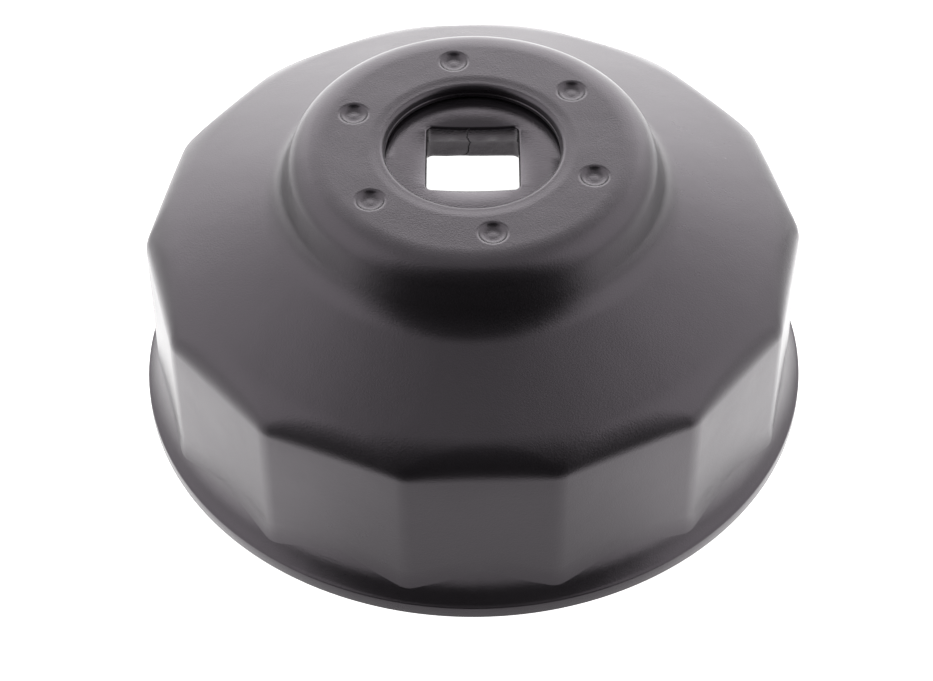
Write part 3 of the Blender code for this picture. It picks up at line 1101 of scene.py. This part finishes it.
def make_tent(stage):
    """Light tent: bright back wall, softer sides, dim overhead, open in front."""
    world = bpy.data.worlds.new("light_tent")
    world.use_nodes = True
    bpy.context.scene.world = world
    tree = world.node_tree
    back = tree.nodes["Background"]
    way = tree.nodes.new("ShaderNodeTexCoord").outputs["Generated"]
    facing, rise = bearing(tree, way)[1:]
    walls = range_node(tree, rise, 0.0, 0.35, stage.tent_sides * 0.60, stage.tent_sides)
    top = stage.tent_top / stage.tent_sides
    walls = math_node(tree, "MULTIPLY", walls, range_node(tree, rise, *SIDE_FADE, 1.0, top))
    back_wall = range_node(tree, rise, *BACK_FADE, stage.tent_back, stage.tent_top * 0.85)
    back_wall = math_node(tree, "MULTIPLY", back_wall, range_node(tree, rise, 0.0, 0.25, 0.66, 1.0))
    light = blend_values(tree, range_node(tree, facing, *BACK_FACING), walls, back_wall)
    overhead = range_node(tree, rise, *OVERHEAD_RANGE)
    opening = blend_values(tree, overhead, open_front(tree, facing, stage), 1.0)
    light = math_node(tree, "MULTIPLY", light, opening)
    seen = seen_by_camera(tree, light, 1.0)
    tree.links.new(seen, back.inputs["Strength"])
    back.inputs["Color"].default_value = (1.0, 0.995, 1.0, 1.0)


def make_camera(stage):
    """Camera above the front of the tool."""
    camera = bpy.data.objects.new("camera", bpy.data.cameras.new("camera"))
    camera.data.lens = stage.lens
    camera.data.sensor_width = 36.0
    camera.data.clip_start = 0.005
    camera.data.clip_end = 50.0
    place = Vector(stage.camera_place)
    sight = Vector(stage.camera_aim) - place
    facing = sight.to_track_quat("-Z", "Y").to_matrix().to_4x4()
    roll = Matrix.Rotation(-stage.camera_roll, 4, "Z")
    camera.matrix_world = Matrix.Translation(place) @ facing @ roll
    bpy.context.scene.collection.objects.link(camera)
    bpy.context.scene.camera = camera


# ---------------------------------------------------------------- operators and panel


class WRENCH_OT_cap(bpy.types.Operator):
    """Build the pressed cap with its dimples"""

    bl_idname = "wrench.cap"
    bl_label = "Build Cap"

    def execute(self, context):
        scene = context.scene
        groups = shared_groups()
        finish = scene.wrench_finish
        coat = coated_steel("cap_coat", finish, finish.cap_roughness, groups, 1.0)
        build_cap(scene.wrench_cap, scene.wrench_dimple, [coat])
        return {"FINISHED"}


class WRENCH_OT_plate(bpy.types.Operator):
    """Build the drive plate with its punched square hole"""

    bl_idname = "wrench.plate"
    bl_label = "Build Drive Plate"

    def execute(self, context):
        scene = context.scene
        groups = shared_groups()
        finish = scene.wrench_finish
        gloss = finish.plate_roughness
        coat = coated_steel("plate_coat", finish, gloss, groups, 0.6, cracked=True)
        torn = coated_steel("plate_fracture", finish, gloss + 0.2, groups, 0.6, 0.9, cracked=True)
        build_plate(scene.wrench_plate, scene.wrench_dimple, [coat, torn])
        return {"FINISHED"}


class WRENCH_OT_welds(bpy.types.Operator):
    """Give the six weld nuggets their bare steel finish"""

    bl_idname = "wrench.welds"
    bl_label = "Finish Welds"

    def execute(self, context):
        steel = weld_steel(context.scene.wrench_finish, shared_groups())
        for name in NUGGETS:
            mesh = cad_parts[name].data
            mesh.materials.clear()
            mesh.materials.append(steel)
        return {"FINISHED"}


class WRENCH_OT_stage(bpy.types.Operator):
    """Set up the table, the light tent and the camera"""

    bl_idname = "wrench.stage"
    bl_label = "Set Stage"

    def execute(self, context):
        stage = context.scene.wrench_stage
        make_table(stage)
        make_tent(stage)
        make_camera(stage)
        context.scene.view_settings.view_transform = "Standard"
        return {"FINISHED"}


class WRENCH_PT_panel(bpy.types.Panel):
    """Sizes, finishes and build buttons of the wrench"""

    bl_idname = "WRENCH_PT_panel"
    bl_label = "Oil Filter Wrench"
    bl_space_type = "VIEW_3D"
    bl_region_type = "UI"
    bl_category = "Wrench"

    def draw(self, context):
        scene = context.scene
        steps = [
            (scene.wrench_cap, "wrench.cap"),
            (scene.wrench_dimple, None),
            (scene.wrench_plate, "wrench.plate"),
            (scene.wrench_finish, "wrench.welds"),
            (scene.wrench_stage, "wrench.stage"),
        ]
        for settings, operator in steps:
            box = self.layout.box()
            for key in settings.bl_rna.properties.keys():
                if key not in ("rna_type", "name"):
                    box.prop(settings, key)
            if operator:
                box.operator(operator)


SETTINGS = {
    "wrench_cap": CapSizes,
    "wrench_dimple": DimpleSizes,
    "wrench_plate": PlateSizes,
    "wrench_finish": FinishSettings,
    "wrench_stage": StageSettings,
}
CLASSES = [
    *SETTINGS.values(),
    WRENCH_OT_cap,
    WRENCH_OT_plate,
    WRENCH_OT_welds,
    WRENCH_OT_stage,
    WRENCH_PT_panel,
]


def register():
    """Register the classes and hang the settings on the scene."""
    for cls in CLASSES:
        bpy.utils.register_class(cls)
    for key, group in SETTINGS.items():
        setattr(bpy.types.Scene, key, PointerProperty(type=group))


def unregister():
    """Take the settings and the classes away again."""
    for key in SETTINGS:
        delattr(bpy.types.Scene, key)
    for cls in reversed(CLASSES):
        bpy.utils.unregister_class(cls)


def main():
    """Build everything in order."""
    register()
    bpy.ops.wrench.stage()
    bpy.ops.wrench.cap()
    bpy.ops.wrench.plate()
    bpy.ops.wrench.welds()


if __name__ == "__main__":
    main()
